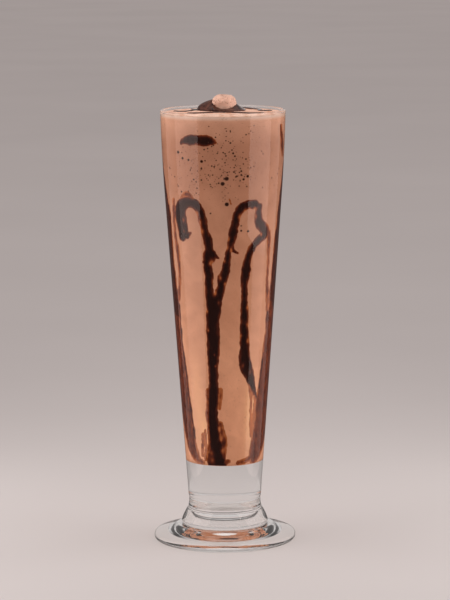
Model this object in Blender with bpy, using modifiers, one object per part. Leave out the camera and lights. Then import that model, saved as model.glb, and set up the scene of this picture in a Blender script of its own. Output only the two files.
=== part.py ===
"""Chocolate peanut butter smoothie in a tall footed glass.

Four solids: the turned glass, the smoothie that fills it with the chocolate
streaks that run down inside its wall, the chocolate sauce pooled on top, and
the frozen lump that stands in the sauce.

Units are metres and +Z is up. The origin is the centre of the foot's
underside. The front faces -Y, and azimuths are degrees from the front,
positive towards +X.
"""

import math

import bmesh
import bpy
from mathutils import Vector, noise

MM = 0.001

# Glass, outside
GLASS_HEIGHT = 230.0 * MM
RIM_RADIUS = 33.0 * MM
RIM_SLOPE = 0.0229
FLARE_START = 185.0 * MM
WAIST_HEIGHT = 22.5 * MM
WAIST_RADIUS = 19.2 * MM
WAIST_GROOVE_DEPTH = 0.4 * MM
COLLAR_BOTTOM_RADIUS = 19.7 * MM
COLLAR_BOTTOM_HEIGHT = 17.0 * MM
BULGE_TOP_RADIUS = 19.95 * MM
BULGE_TOP_HEIGHT = 16.7 * MM
BULGE_RADIUS = 23.0 * MM
BULGE_HEIGHT = 10.1 * MM
BULGE_FOOT_RADIUS = 22.8 * MM
BULGE_FOOT_HEIGHT = 8.6 * MM
BEAD_RADIUS = 25.6 * MM
BEAD_HEIGHT = 8.3 * MM
FOOT_SLOPE_RADIUS = 28.0 * MM
FOOT_SLOPE_HEIGHT = 6.9 * MM
FOOT_RADIUS = 37.8 * MM
FOOT_EDGE_ROUND = 2.2 * MM
FOOT_EDGE_TOP_ANGLE = 70.0
REST_RING_INNER_RADIUS = 29.0 * MM
PUNT_RADIUS = 26.0 * MM
PUNT_HEIGHT = 1.2 * MM

# Glass, inside
WALL_AT_RIM = 1.8 * MM
WALL_AT_FLOOR = 2.4 * MM
FLOOR_HEIGHT = 42.6 * MM
FLOOR_DISH = 0.8 * MM
FLOOR_CORNER = 2.5 * MM

# Smoothie
CONTENTS_GAP = 0.75 * MM
FLOOR_GAP = 0.4 * MM
LEVEL_BELOW_RIM = 1.5 * MM
DOME_RISE = 1.0 * MM
TOP_EDGE_ROUND = 0.8 * MM
TOP_RIPPLE = 0.25 * MM
TOP_RIPPLE_SIZE = 9.0 * MM

# Chocolate streaks
STREAK_PROUD = 0.35 * MM
STREAK_DEPTH = 0.9 * MM
STREAK_STEP = 4.5 * MM
STREAK_SIDES = 6
STREAK_END_TAPER = 0.35

# Frozen lump
LUMP_CENTRE = Vector((0.6, 2.0, 231.9)) * MM
LUMP_RADII = Vector((6.3, 5.8, 6.3)) * MM
LUMP_LEAN = 0.1
LUMP_RELIEF = 0.55 * MM
LUMP_RELIEF_SIZE = 4.2 * MM
PIECE_GAP = 0.35 * MM

# Chocolate sauce pool round the lump
SAUCE_CENTRE = Vector((0.6, 1.5, 0.0)) * MM
SAUCE_REACH_LEFT = 13.2 * MM
SAUCE_REACH_RIGHT = 12.0 * MM
SAUCE_REACH_BACK = 10.5 * MM
SAUCE_REACH_FRONT = 9.0 * MM
SAUCE_THIN = 0.8 * MM
SAUCE_LEFT_MOUND = 4.6 * MM
SAUCE_RIGHT_MOUND = 3.2 * MM
SAUCE_BACK_MOUND = 1.6 * MM
SAUCE_MOUND_WIDTH = 40.0
SAUCE_LEFT_FALL = 0.55
SAUCE_RIGHT_FALL = 1.3
SAUCE_GAP = 0.3 * MM

# Fineness of the faceted solids
GLASS_SEGMENTS = 56
SMOOTHIE_SEGMENTS = 48
LUMP_SEGMENTS = 20
LUMP_RINGS = 12
SAUCE_SEGMENTS = 32
SAUCE_RINGS = 14
MERGE_DISTANCE = 0.01 * MM
CREASE_ANGLE = 25.0

# Colours in linear light
GLASS_COLOUR = (0.95, 0.96, 0.95)
SMOOTHIE_COLOUR = (0.50, 0.23, 0.13)
LUMP_COLOUR = (0.60, 0.36, 0.25)
CHOCOLATE_COLOUR = (0.028, 0.008, 0.004)

# Chocolate streaks inside the wall, each a list of (azimuth in degrees, height
# in mm, half width in mm) from one end to the other.
FRONT_STREAKS = {
    "left_arch": (
        (-46, 164, 1.0), (-50, 170, 2.3), (-47, 179, 2.1), (-37, 184, 2.7),
        (-25, 181, 2.7), (-18, 172, 2.4), (-16, 160, 2.2), (-15, 155, 3.8),
        (-17.5, 148, 2.1), (-17, 136, 2.0), (-13, 126, 2.6),
    ),
    "right_arch": (
        (42, 180, 0.9), (33, 181, 1.7), (23, 181, 2.2), (13, 178, 2.2),
        (11, 168, 2.3), (11, 160, 2.2), (16, 157.5, 0.9),
    ),
    "right_arch_strand": (
        (8, 168, 1.0), (5.5, 160, 1.7), (3, 152, 3.0), (1.5, 144, 1.9),
        (-3, 138, 2.6), (-4, 131, 2.8), (-9, 123, 2.4),
    ),
    "centre_run": (
        (-11, 131, 2.8), (-13, 118, 3.2), (-14.3, 100, 3.0), (-14, 88, 3.0),
        (-16, 72, 3.0), (-15, 60, 3.1), (-11, 51, 4.2), (-9, 44.5, 4.4),
    ),
    "centre_left_branch": ((-23, 84, 0.8), (-24.5, 76, 0.9), (-26, 64, 1.1), (-22, 52, 1.3)),
    "centre_right_branch": ((-5, 66, 0.8), (-1, 57, 1.3), (-3, 48, 1.4)),
    "right_loop": (
        (41, 180, 0.8), (37.5, 175, 2.0), (40, 170, 2.2), (45.5, 166.5, 2.1),
        (36, 161.5, 1.7), (28, 156, 2.1), (25.5, 146, 2.2), (24, 136, 1.7),
        (25.5, 122, 1.9), (26.5, 108, 2.6), (28, 98, 3.1), (36, 90, 2.0),
        (47, 81, 1.3), (55, 76, 1.6),
    ),
    "right_edge": (
        (84, 195, 0.7), (74, 181, 1.6), (69, 162, 1.8), (66.5, 135, 1.8),
        (63, 110, 2.2), (57.5, 90, 2.4), (58, 79, 3.6), (61, 66, 5.0),
        (61, 54, 5.0), (58, 46, 4.0),
    ),
    "right_edge_strand": (
        (47, 169, 0.9), (56, 166, 1.3), (57, 155, 1.4), (58, 140, 1.2), (62, 126, 1.2),
    ),
    "left_edge": (
        (-77, 201, 0.6), (-70, 186, 1.4), (-69.5, 165, 1.7), (-68, 142, 1.5),
        (-65.5, 130, 1.3), (-67.5, 112, 1.8), (-62, 92, 2.1), (-57, 72, 1.9),
        (-51, 50, 1.8),
    ),
    "left_edge_strand": (
        (-58, 184, 0.8), (-59, 176, 1.4), (-61, 166, 1.1), (-57.5, 154, 1.2),
        (-58.5, 143, 1.0), (-64, 131, 0.9),
    ),
    "left_bottom": ((-49, 66, 0.6), (-49.5, 56, 1.2), (-46, 46, 2.4), (-36, 44.6, 1.4)),
    "left_smear": (
        (-43, 214.5, 0.9), (-37, 216, 2.2), (-22, 216.4, 2.4), (-13, 216, 2.1), (-6.5, 215, 0.6),
    ),
    "right_smear": ((69, 221, 0.6), (70, 216, 1.2), (75, 211.5, 1.1)),
}

# The back is not seen, and is streaked in the same way.
BACK_STREAKS = {
    "back_left_arch": (
        (-108, 172, 1.2), (-112, 184, 2.2), (-123, 188, 2.4), (-133, 178, 2.3),
        (-134, 158, 2.0), (-131, 130, 2.2), (-134, 100, 2.8), (-132, 70, 2.8),
        (-134, 45, 3.2),
    ),
    "back_right_arch": (
        (150, 166, 1.4), (154, 180, 2.2), (166, 186, 2.5), (177, 176, 2.3),
        (178, 150, 2.0), (174, 120, 2.2), (175, 90, 2.6), (172, 62, 2.6),
        (175, 45, 3.0),
    ),
    "back_side_run": (
        (112, 202, 0.8), (109, 180, 1.8), (113, 150, 2.0), (110, 118, 2.2),
        (114, 86, 2.4), (111, 45, 2.8),
    ),
    "back_smear": ((118, 213, 0.8), (128, 215.5, 2.1), (142, 215, 1.7), (150, 213, 0.6)),
}

# Chocolate lines on the top, each a list of (x, y, half width), all in mm.
TOP_LINES = {
    "front_line": (
        (-19, -12, 0.8), (-10, -14.5, 1.3), (2, -13, 1.0), (13, -15.5, 1.4), (22, -12, 0.8),
    ),
    "left_line": ((-26, 4, 0.9), (-20, -2, 1.3), (-14, 6, 1.1), (-17, 15, 0.8)),
    "right_line": ((26, 6, 0.8), (20, 0, 1.2), (19, 10, 1.3), (12, 17, 0.9)),
    "back_line": ((-14, 21, 0.9), (-3, 18, 1.3), (8, 22, 1.1), (16, 20, 0.7)),
}


def bowl_radius(height):
    """Outer radius of the bowl: a straight cone that eases upright near the rim."""
    flare_length = GLASS_HEIGHT - FLARE_START
    cone_rise = RIM_RADIUS - WAIST_RADIUS - RIM_SLOPE * flare_length / 2
    cone_slope = cone_rise / (GLASS_HEIGHT - WAIST_HEIGHT - flare_length / 2)
    above = max(0.0, height - FLARE_START)
    eased = (cone_slope - RIM_SLOPE) * above ** 2 / (2 * flare_length)
    return WAIST_RADIUS + cone_slope * (height - WAIST_HEIGHT) - eased


def wall_thickness(height):
    """Wall of the bowl, a little thicker towards its floor."""
    share = (height - FLOOR_HEIGHT) / (GLASS_HEIGHT - FLOOR_HEIGHT)
    return WALL_AT_FLOOR + (WALL_AT_RIM - WALL_AT_FLOOR) * min(1.0, max(0.0, share))


def inner_radius(height):
    """Inner radius of the bowl."""
    return bowl_radius(height) - wall_thickness(height)


def fill_radius(height):
    """Radius of the smoothie's side, just clear of the glass."""
    return inner_radius(height) - CONTENTS_GAP


def top_height(x, y):
    """Height of the smoothie's top: a low dome with gentle ripples."""
    level = GLASS_HEIGHT - LEVEL_BELOW_RIM
    reach = math.hypot(x, y) / fill_radius(level)
    ripple = noise.noise(Vector((x, y, 0.0)) / TOP_RIPPLE_SIZE) * TOP_RIPPLE
    calm = max(0.0, 1.0 - reach ** 2)
    return level + DOME_RISE * calm + ripple * calm


def arc(centre_radius, centre_height, radius, start, end, steps):
    """Points of an arc in the profile plane, angles in degrees from +X."""
    points = []
    for step in range(steps + 1):
        angle = math.radians(start + (end - start) * step / steps)
        r = centre_radius + radius * math.cos(angle)
        z = centre_height + radius * math.sin(angle)
        points.append((r, z))
    return points


def bend(start, control, end, steps):
    """Points of a quadratic curve from start to end, pulled towards control."""
    points = []
    for step in range(steps + 1):
        t = step / steps
        weights = ((1 - t) ** 2, 2 * t * (1 - t), t ** 2)
        r = sum(w * p[0] for w, p in zip(weights, (start, control, end)))
        z = sum(w * p[1] for w, p in zip(weights, (start, control, end)))
        points.append((r, z))
    return points


def wall_heights(bottom, top, flare_steps):
    """Heights that a wall's profile needs: its cone's ends and steps up its flare."""
    heights = [bottom, FLARE_START]
    for step in range(1, flare_steps + 1):
        heights.append(FLARE_START + (top - FLARE_START) * step / flare_steps)
    return heights


def glass_profile():
    """Profile of the glass, from the floor's centre over the rim to the punt."""
    corner_height = FLOOR_HEIGHT + FLOOR_CORNER
    corner_radius = inner_radius(corner_height)
    lip_round = WALL_AT_RIM / 2
    lip_centre = GLASS_HEIGHT - lip_round
    points = [(0.0, FLOOR_HEIGHT - FLOOR_DISH), (corner_radius * 0.55, FLOOR_HEIGHT - FLOOR_DISH * 0.75)]
    points += arc(corner_radius - FLOOR_CORNER, corner_height, FLOOR_CORNER, -90, 0, 4)
    heights = wall_heights(corner_height, lip_centre, 4)
    points += [(inner_radius(z), z) for z in heights[1:-1]]
    points += arc(bowl_radius(lip_centre) - lip_round, lip_centre, lip_round, 180, 0, 6)
    points += [(bowl_radius(z), z) for z in reversed(heights[1:-1])]
    points += stem_profile()
    points += foot_profile()
    return points


def stem_profile():
    """Groove, collar and bulge below the bowl, from top to bottom."""
    groove_top = WAIST_HEIGHT + WAIST_GROOVE_DEPTH * 1.6
    groove_bottom = WAIST_HEIGHT - WAIST_GROOVE_DEPTH * 1.6
    collar_top = WAIST_RADIUS - WAIST_GROOVE_DEPTH * 0.3
    points = [(bowl_radius(groove_top), groove_top), (WAIST_RADIUS - WAIST_GROOVE_DEPTH, WAIST_HEIGHT)]
    collar_bottom = (COLLAR_BOTTOM_RADIUS, COLLAR_BOTTOM_HEIGHT)
    collar_middle = (collar_top, (groove_bottom + COLLAR_BOTTOM_HEIGHT) / 2)
    points += bend((collar_top, groove_bottom), collar_middle, collar_bottom, 3)
    bulge_top = (BULGE_TOP_RADIUS, BULGE_TOP_HEIGHT)
    bulge_side = (BULGE_RADIUS, BULGE_HEIGHT)
    bulge_pull = (BULGE_RADIUS - 0.7 * MM, BULGE_HEIGHT + 2.8 * MM)
    points += bend(bulge_top, bulge_pull, bulge_side, 4)
    points.append((BULGE_FOOT_RADIUS, BULGE_FOOT_HEIGHT))
    return points


def foot_profile():
    """Bead, sloping top, rounded edge, resting ring and punt of the foot."""
    bead_outer = ((BEAD_RADIUS + FOOT_SLOPE_RADIUS) / 2, (BEAD_HEIGHT + FOOT_SLOPE_HEIGHT) / 2)
    points = [(BEAD_RADIUS - 1.4 * MM, BEAD_HEIGHT), (BEAD_RADIUS, BEAD_HEIGHT), bead_outer]
    points.append((FOOT_SLOPE_RADIUS, FOOT_SLOPE_HEIGHT))
    edge_centre = FOOT_RADIUS - FOOT_EDGE_ROUND
    points += arc(edge_centre, FOOT_EDGE_ROUND, FOOT_EDGE_ROUND, FOOT_EDGE_TOP_ANGLE, -90, 6)
    points.append((REST_RING_INNER_RADIUS, 0.0))
    points.append((PUNT_RADIUS, PUNT_HEIGHT * 0.6))
    points.append((PUNT_RADIUS / 2, PUNT_HEIGHT * 0.95))
    points.append((0.0, PUNT_HEIGHT))
    return points


def smoothie_profile():
    """Profile of the fill, from the top's centre down its side to its floor."""
    level = GLASS_HEIGHT - LEVEL_BELOW_RIM
    side_top = level - TOP_EDGE_ROUND
    rim_side = fill_radius(side_top)
    points = [(0.0, level)]
    rings = 6
    for ring in range(1, rings + 1):
        points.append(((rim_side - TOP_EDGE_ROUND) * ring / rings, level))
    points += arc(rim_side - TOP_EDGE_ROUND, side_top, TOP_EDGE_ROUND, 60, 0, 2)
    floor = FLOOR_HEIGHT + FLOOR_GAP
    corner_height = floor + FLOOR_CORNER
    heights = wall_heights(corner_height, side_top, 4)
    points += [(fill_radius(z), z) for z in reversed(heights[1:-1])]
    corner_radius = fill_radius(corner_height)
    points += arc(corner_radius - FLOOR_CORNER, corner_height, FLOOR_CORNER, 0, -90, 3)
    points.append((0.0, floor - FLOOR_DISH))
    return points


def make_material(name, colour, roughness, transmission=0.0):
    """Principled material with one colour."""
    material = bpy.data.materials.new(name)
    material.use_nodes = True
    shader = material.node_tree.nodes["Principled BSDF"]
    shader.inputs["Base Color"].default_value = (*colour, 1.0)
    shader.inputs["Roughness"].default_value = roughness
    shader.inputs["Metallic"].default_value = 0.0
    shader.inputs["IOR"].default_value = 1.5
    shader.inputs["Transmission Weight"].default_value = transmission
    return material


def new_collection(name):
    """Empty collection linked to the scene."""
    collection = bpy.data.collections.new(name)
    bpy.context.scene.collection.children.link(collection)
    return collection


def add_object(name, mesh, collection):
    """Object that holds a mesh, in a collection."""
    piece = bpy.data.objects.new(name, mesh)
    collection.objects.link(piece)
    return piece


def shade(mesh):
    """Smooth shading, with the crisp edges left sharp."""
    mesh.shade_smooth()
    mesh.set_sharp_from_angle(angle=math.radians(CREASE_ANGLE))


def turn(name, profile, segments, collection):
    """Solid turned about Z from a profile in the XZ plane, by a Screw modifier."""
    sketch = bmesh.new()
    verts = [sketch.verts.new((r, 0.0, z)) for r, z in profile]
    for first, second in zip(verts, verts[1:]):
        sketch.edges.new((first, second))
    mesh = bpy.data.meshes.new(name)
    sketch.to_mesh(mesh)
    sketch.free()
    piece = add_object(name, mesh, collection)
    screw = piece.modifiers.new("turn", "SCREW")
    screw.axis = "Z"
    screw.steps = segments
    screw.render_steps = segments
    screw.use_merge_vertices = True
    screw.merge_threshold = MERGE_DISTANCE
    screw.use_smooth_shade = True
    return piece


def apply_modifiers(piece):
    """Replace an object's mesh by its evaluated one."""
    bpy.context.view_layer.update()
    depsgraph = bpy.context.evaluated_depsgraph_get()
    finished = bpy.data.meshes.new_from_object(piece.evaluated_get(depsgraph))
    piece.modifiers.clear()
    piece.data = finished
    return finished


def smooth_path(points, samples):
    """Points spread evenly along a smooth curve through the given points."""
    spread = []
    last = len(points) - 1
    for step in range(samples + 1):
        place = last * step / samples
        index = min(int(place), last - 1)
        t = place - index
        before = points[max(index - 1, 0)]
        start = points[index]
        end = points[index + 1]
        after = points[min(index + 2, last)]
        spread.append(tuple(
            0.5 * (2 * b + (c - a) * t + (2 * a - 5 * b + 4 * c - d) * t ** 2
                   + (3 * b - a - 3 * c + d) * t ** 3)
            for a, b, c, d in zip(before, start, end, after)
        ))
    return spread


def wall_place(azimuth, height):
    """Point on the smoothie's side and its outward direction."""
    angle = math.radians(azimuth)
    outward = Vector((math.sin(angle), -math.cos(angle), 0.0))
    radius = fill_radius(height * MM)
    return outward * radius + Vector((0.0, 0.0, height * MM)), outward


def top_place(x, y):
    """Point on the smoothie's top and its upward direction."""
    return Vector((x * MM, y * MM, top_height(x * MM, y * MM))), Vector((0.0, 0.0, 1.0))


def streak(name, points, place, collection):
    """Flat ribbon of chocolate along a path, half sunk in the smoothie."""
    rough = [place(first, second)[0] for first, second, _ in points]
    length = sum((b - a).length for a, b in zip(rough, rough[1:]))
    samples = max(4, round(length / STREAK_STEP))
    route = smooth_path(points, samples)
    spots = [place(first, second) for first, second, _ in route]
    shape = bmesh.new()
    bmesh.ops.create_cone(
        shape, cap_ends=True, segments=STREAK_SIDES, radius1=1.0, radius2=1.0, depth=1.0,
    )
    long_edges = [e for e in shape.edges if abs(e.verts[0].co.z - e.verts[1].co.z) > 0.5]
    bmesh.ops.subdivide_edges(shape, edges=long_edges, cuts=samples - 1)
    half_thickness = (STREAK_PROUD + STREAK_DEPTH) / (2 * math.sin(math.radians(60)))
    sink = (STREAK_DEPTH - STREAK_PROUD) / 2
    width_share = math.sqrt(1 - (sink / half_thickness) ** 2)
    for vert in shape.verts:
        index = round((vert.co.z + 0.5) * samples)
        centre, outward = spots[index]
        ahead = spots[min(index + 1, samples)][0] - spots[max(index - 1, 0)][0]
        across = ahead.cross(outward).normalized()
        half_width = max(route[index][2], 0.3) * MM / width_share
        taper = STREAK_END_TAPER if index in (0, samples) else 1.0
        sideways = across * (vert.co.x * half_width * taper)
        proud = outward * (vert.co.y * half_thickness - sink)
        vert.co = centre + sideways + proud
    bmesh.ops.recalc_face_normals(shape, faces=shape.faces)
    mesh = bpy.data.meshes.new(name)
    shape.to_mesh(mesh)
    shape.free()
    return add_object(name, mesh, collection)


def lump_mesh(name, grow):
    """Uneven lump, steeper on its left, grown by a margin all round."""
    shape = bmesh.new()
    bmesh.ops.create_uvsphere(
        shape, u_segments=LUMP_SEGMENTS, v_segments=LUMP_RINGS, radius=1.0,
    )
    for vert in shape.verts:
        out = vert.co.normalized()
        point = Vector(r * c for r, c in zip(LUMP_RADII, vert.co))
        relief = noise.noise(point / LUMP_RELIEF_SIZE + Vector((3.0, 1.0, 2.0)))
        point += out * (relief * LUMP_RELIEF + grow)
        point.x += LUMP_LEAN * max(0.0, point.z)
        vert.co = point + LUMP_CENTRE
    mesh = bpy.data.meshes.new(name)
    shape.to_mesh(mesh)
    shape.free()
    return mesh


def sauce_reach(azimuth):
    """How far the pool of sauce reaches from its centre."""
    across = math.sin(azimuth)
    sides = SAUCE_REACH_RIGHT if across > 0 else SAUCE_REACH_LEFT
    ends = SAUCE_REACH_FRONT if math.cos(azimuth) > 0 else SAUCE_REACH_BACK
    waver = 1.0 + 0.05 * math.sin(3 * azimuth + 0.6) + 0.03 * math.sin(7 * azimuth)
    return (ends + (sides - ends) * across ** 2) * waver


def sauce_mounds(azimuth):
    """How much the left and the right mound rise above the thin pool."""
    degrees = math.degrees(azimuth)
    left = math.exp(-((degrees + 90) / SAUCE_MOUND_WIDTH) ** 2)
    right = math.exp(-((degrees - 90) / SAUCE_MOUND_WIDTH) ** 2)
    behind = max(0.0, -math.cos(azimuth)) * SAUCE_BACK_MOUND
    return SAUCE_LEFT_MOUND * left, SAUCE_RIGHT_MOUND * right + behind


def sauce_mesh(name):
    """Pool of sauce on the smoothie's top, heaped against the lump's sides."""
    shape = bmesh.new()
    bmesh.ops.create_uvsphere(
        shape, u_segments=SAUCE_SEGMENTS, v_segments=SAUCE_RINGS, radius=1.0,
    )
    for vert in shape.verts:
        azimuth = math.atan2(vert.co.x, -vert.co.y)
        share = math.hypot(vert.co.x, vert.co.y)
        reach = sauce_reach(azimuth)
        x = SAUCE_CENTRE.x + math.sin(azimuth) * share * reach
        y = SAUCE_CENTRE.y - math.cos(azimuth) * share * reach
        bed = top_height(x, y) + SAUCE_GAP
        against_lump = LUMP_RADII.x / reach
        fall = min(1.0, max(0.0, (1.0 - share) / (1.0 - against_lump)))
        left, right = sauce_mounds(azimuth)
        heap = left * fall ** SAUCE_LEFT_FALL + right * fall ** SAUCE_RIGHT_FALL
        height = SAUCE_THIN * math.sqrt(fall) + heap if vert.co.z > 0 else 0.0
        edge = 0.5 * SAUCE_THIN * share ** 4 if abs(vert.co.z) < 0.01 else 0.0
        vert.co = Vector((x, y, bed + height + edge))
    mesh = bpy.data.meshes.new(name)
    shape.to_mesh(mesh)
    shape.free()
    return mesh


def cut(piece, cutter):
    """Cut a cutter's shape out of a piece, for good."""
    boolean = piece.modifiers.new("cut", "BOOLEAN")
    boolean.operation = "DIFFERENCE"
    boolean.object = cutter
    apply_modifiers(piece)


def join_collection(piece, collection):
    """Fuse all of a collection's objects to a piece, then remove them."""
    boolean = piece.modifiers.new("join", "BOOLEAN")
    boolean.operation = "UNION"
    boolean.operand_type = "COLLECTION"
    boolean.collection = collection
    apply_modifiers(piece)
    for member in list(collection.objects):
        bpy.data.objects.remove(member)
    bpy.data.collections.remove(collection)


def build_glass(collection):
    """The glass, one turned solid."""
    glass = turn("glass", glass_profile(), GLASS_SEGMENTS, collection)
    glass.data.materials.append(make_material("clear_glass", GLASS_COLOUR, 0.02, 1.0))
    return glass


def build_smoothie(collection, lump_cutter):
    """The smoothie with its streaks and top lines, cut out round the lump."""
    smoothie = turn("smoothie", smoothie_profile(), SMOOTHIE_SEGMENTS, collection)
    mesh = apply_modifiers(smoothie)
    level = GLASS_HEIGHT - LEVEL_BELOW_RIM
    for vert in mesh.vertices:
        if abs(vert.co.z - level) < 0.01 * MM:
            vert.co.z = top_height(vert.co.x, vert.co.y)
    drizzle = new_collection("drizzle")
    for name, points in {**FRONT_STREAKS, **BACK_STREAKS}.items():
        streak(name, points, wall_place, drizzle)
    for name, points in TOP_LINES.items():
        streak(name, points, top_place, drizzle)
    join_collection(smoothie, drizzle)
    cut(smoothie, lump_cutter)
    shade(smoothie.data)
    smoothie.data.materials.clear()
    smoothie.data.materials.append(make_material("smoothie", SMOOTHIE_COLOUR, 0.55))
    return smoothie


def build_lump(collection):
    """The frozen lump that stands in the smoothie."""
    lump = add_object("frozen_lump", lump_mesh("frozen_lump", 0.0), collection)
    shade(lump.data)
    lump.data.materials.append(make_material("frozen_lump", LUMP_COLOUR, 0.6))
    return lump


def build_sauce(collection, lump_cutter):
    """The chocolate sauce round the lump."""
    sauce = add_object("chocolate_sauce", sauce_mesh("chocolate_sauce"), collection)
    cut(sauce, lump_cutter)
    shade(sauce.data)
    sauce.data.materials.clear()
    sauce.data.materials.append(make_material("chocolate", CHOCOLATE_COLOUR, 0.2))
    return sauce


def main():
    """Clear the scene and build the four solids."""
    for old in list(bpy.data.objects):
        bpy.data.objects.remove(old)
    parts = new_collection("chocolate_smoothie")
    cutters = new_collection("cutters")
    lump_cutter = add_object("lump_clearance", lump_mesh("lump_clearance", PIECE_GAP), cutters)
    lump_cutter.hide_render = True
    lump_cutter.display_type = "WIRE"
    build_glass(parts)
    build_smoothie(parts, lump_cutter)
    build_lump(parts)
    build_sauce(parts, lump_cutter)


main()
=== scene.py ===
"""Looks of the chocolate peanut butter smoothie in its tall footed glass.

Lengths are metres, +Z is up and the photo's side faces -Y. An azimuth is in
degrees from the front, positive towards +X.
"""
import math
import random

import bmesh
import bpy
import numpy as np
from bpy.props import FloatProperty, FloatVectorProperty, IntProperty, PointerProperty
from mathutils import Matrix, Vector, noise


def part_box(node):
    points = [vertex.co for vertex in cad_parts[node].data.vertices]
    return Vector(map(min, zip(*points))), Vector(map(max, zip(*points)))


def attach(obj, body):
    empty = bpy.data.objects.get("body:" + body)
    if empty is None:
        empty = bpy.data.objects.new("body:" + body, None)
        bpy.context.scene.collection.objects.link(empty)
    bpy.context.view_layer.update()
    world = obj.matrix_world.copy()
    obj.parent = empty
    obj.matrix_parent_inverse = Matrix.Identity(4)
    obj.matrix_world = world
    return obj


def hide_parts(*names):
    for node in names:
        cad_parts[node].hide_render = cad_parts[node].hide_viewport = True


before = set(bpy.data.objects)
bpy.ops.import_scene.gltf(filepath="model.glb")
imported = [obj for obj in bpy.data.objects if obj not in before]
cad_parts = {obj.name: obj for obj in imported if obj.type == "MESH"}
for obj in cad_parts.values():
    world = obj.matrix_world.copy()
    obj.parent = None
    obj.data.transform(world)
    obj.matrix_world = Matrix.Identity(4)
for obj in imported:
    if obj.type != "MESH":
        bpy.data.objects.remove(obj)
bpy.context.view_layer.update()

bl_info = {
    "name": "Smoothie Glass",
    "version": (1, 0, 0),
    "blender": (4, 5, 0),
    "location": "View3D > Sidebar > Smoothie",
    "description": "Dresses a smoothie glass with its drink, sauce, topping and studio",
    "category": "Object",
}

MM = 0.001
GLASS_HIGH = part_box("glass")[1]

# Camera, fitted to the photo
CAMERA_PLACE = Vector((0.0, -1.5, 0.345))
CAMERA_LENS = 171.3
CAMERA_SENSOR = 36.0
CAMERA_PITCH = -8.206
CAMERA_YAW = -0.024
CAMERA_ROLL = -0.28

# Studio: the floor reaches just into the resting ring, so that no gap shows, and
# the glass mirrors it at MIRRORED_SHARE of its colour.
# Softboxes that only light: side, front edge, back edge, brightness.
# Softboxes that only shine in the glass: side, front edge, back edge, bottom, top, brightness.
# The softbox above: place, size, brightness.
FLOOR_RADIUS = 14.0
FLOOR_SIDES = 96
FLOOR_LIFT = 0.03 * MM
SOFTBOX_COLOUR = (1.0, 0.975, 0.96)
SHINE_COLOUR = (1.0, 0.79, 0.74)
SOFTBOX_DISTANCE = 0.28
SOFTBOX_HEIGHT = 0.7
SOFTBOXES = (
    ("left_box", -1, -0.25, 0.19, 1.2),
    ("right_box", 1, -0.22, 0.19, 1.15),
)
SHINE_DISTANCE = 0.13
SHINES = (
    ("left_front_shine", -1, -0.134, -0.003, 0.0, 0.4, 1.3),
    ("left_back_shine", -1, -0.003, 0.079, 0.0, 0.4, 0.5),
    ("right_front_shine", 1, -0.122, -0.003, 0.13, 0.4, 1.6),
    ("right_low_shine", 1, -0.075, -0.003, 0.0, 0.13, 1.2),
    ("right_back_shine", 1, -0.003, 0.079, 0.0, 0.4, 0.55),
)
TOP_BOX = ((0.0, 0.4, 1.8), (2.0, 2.0), 0.36)
ROOM_COLOUR = (0.60, 0.565, 0.555)
MIRRORED_SHARE = 0.2

# Glass profile
RIM_SLOPE = 0.0229
FLARE_START = 185.0 * MM
WAIST_HEIGHT = 22.5 * MM
WAIST_GROOVE_DEPTH = 0.4 * MM
WAIST_GROOVE_HALF = WAIST_GROOVE_DEPTH * 1.6
COLLAR_BOTTOM = (19.7 * MM, 17.0 * MM)
BULGE_TOP = (19.95 * MM, 16.7 * MM)
BULGE_PULL = (22.3 * MM, 12.9 * MM)
BULGE_SIDE = (23.0 * MM, 10.1 * MM)
BULGE_FOOT = (22.8 * MM, 8.6 * MM)
BEAD_INNER = (24.2 * MM, 8.3 * MM)
BEAD_OUTER = (25.6 * MM, 8.3 * MM)
FOOT_SLOPE_TOP = (28.0 * MM, 6.9 * MM)
FOOT_EDGE_ROUND = 2.2 * MM
REST_RING_INNER = (29.0 * MM, 0.0)
PUNT_EDGE = (26.0 * MM, 0.72 * MM)
PUNT_MIDDLE = (13.0 * MM, 1.14 * MM)
PUNT_TOP = (0.0, 1.2 * MM)
FLOOR_DISH = 0.8 * MM
FLOOR_CORNER = 2.5 * MM

# Drink
WALL_BITE = 0.05 * MM
STREAK_BITE = 0.09 * MM
STREAK_THICKNESS = 0.4 * MM
BUBBLE_BITE = 0.07 * MM
DOME_RISE = 1.0 * MM
TOP_RIPPLE = 0.25 * MM
TOP_RIPPLE_SIZE = 9.0 * MM
TOP_FOAM = 0.12 * MM
TOP_FOAM_SIZE = 1.3 * MM
CAD_FILL_GAP = 0.75 * MM
DEEP_HEIGHT = 85.0 * MM
HIGH_HEIGHT = 205.0 * MM
FROTH_HEIGHT = 214.0 * MM
# Height of the band under the level that is painted lighter, as painted highlight of the glass's rim.
RIM_HIGHLIGHT_BAND = 2.4 * MM

# Wall grid that the streaks are cut from
GRID_START = -160.0
GRID_COLUMNS = 378
GRID_ROW = 0.53
GRID_BOTTOM = 42.9
GRID_TOP = 224.0
STREAK_SAMPLE = 0.4
STREAK_SPREAD = 0.35
STREAK_MARGIN = 1.5
FAR_OUTSIDE = -9.0
WAVED_FROM = -1.2
MEAN_WALL_RADIUS = 26
EDGE_WAVES = ((5.0, 0.7), (1.7, 0.45), (0.8, 0.25))
THIN_DEPTH = 0.68
THIN_STRETCH = 0.6
MOST_SNAP = 0.3
FILM_RISE = 0.4
FILM_EDGE = 0.33

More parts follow.
